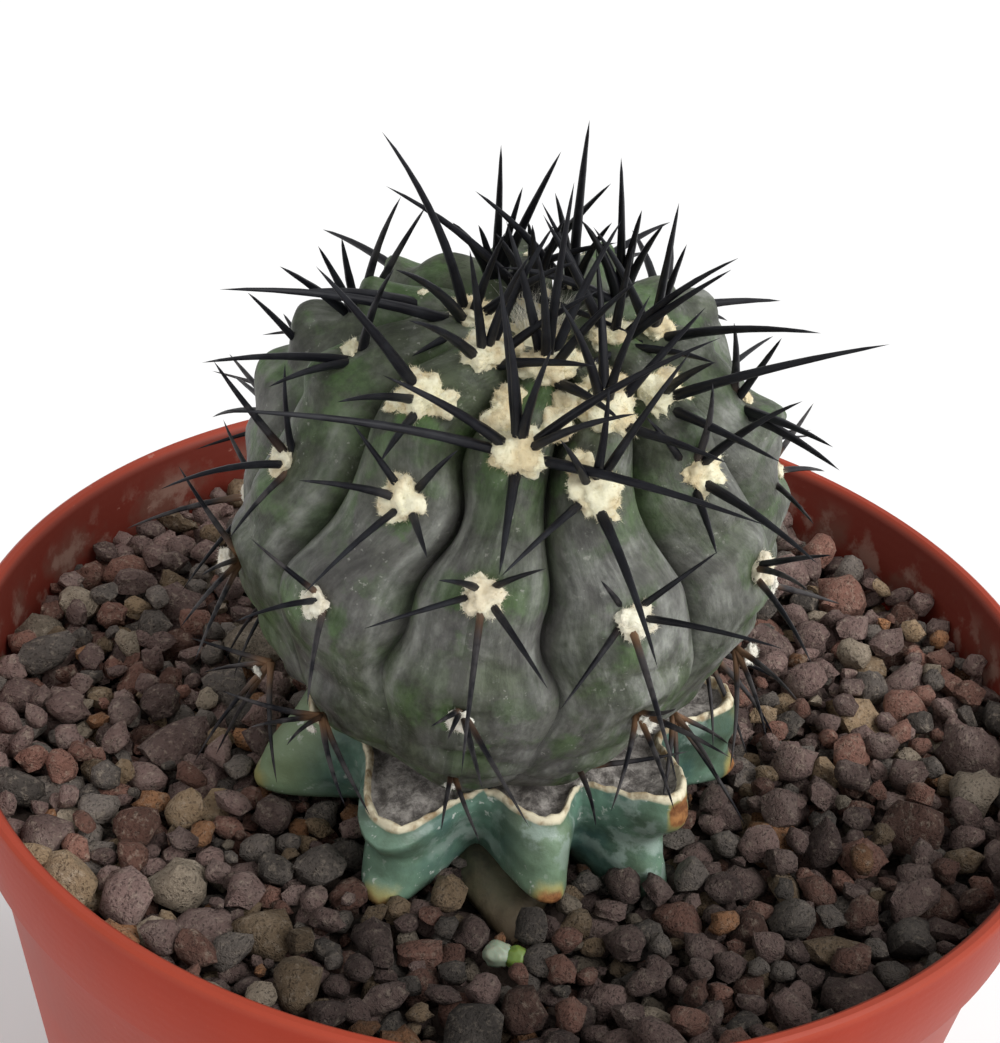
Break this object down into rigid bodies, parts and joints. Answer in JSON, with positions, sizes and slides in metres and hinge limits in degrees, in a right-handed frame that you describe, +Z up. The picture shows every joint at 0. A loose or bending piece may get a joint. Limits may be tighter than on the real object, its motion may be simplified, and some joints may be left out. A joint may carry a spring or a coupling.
{
  "type": "potted copiapoa",
  "caption": "Ribbed globular cactus with cream wool tufts and dark spines, grafted on a star-shaped rootstock stub and set in lava gravel in a round plastic pot with a rim collar.",
  "frame": {"origin": "centre of the pot's foot, on the surface that the pot stands on", "axes": "+Z up, through the pot's axis; -Y towards the front, where the picture was taken from"},
  "size_m": [0.12, 0.12, 0.1715],
  "materials": {
    "pot_plastic": "terracotta-orange polypropylene, satin, lightly scuffed",
    "potting_mix": "dark crumbly mix of bark, peat and grit, matte",
    "lava_gravel": "porous lava grit in mauve-brown, brick red, grey and tan, matte",
    "rootstock_skin": "smooth waxy blue-green plant skin with rust-coloured lobe tips and a cream callus rim",
    "scion_skin": "grey-green plant skin with a whitish waxy bloom, cream wool and black-slate spines"
  },
  "bodies": {
    "root": {"pot": "pot_plastic", "potting_mix": "potting_mix", "gravel": "lava_gravel", "rootstock": "rootstock_skin", "scion": "scion_skin"}
  },
  "joints": []
}
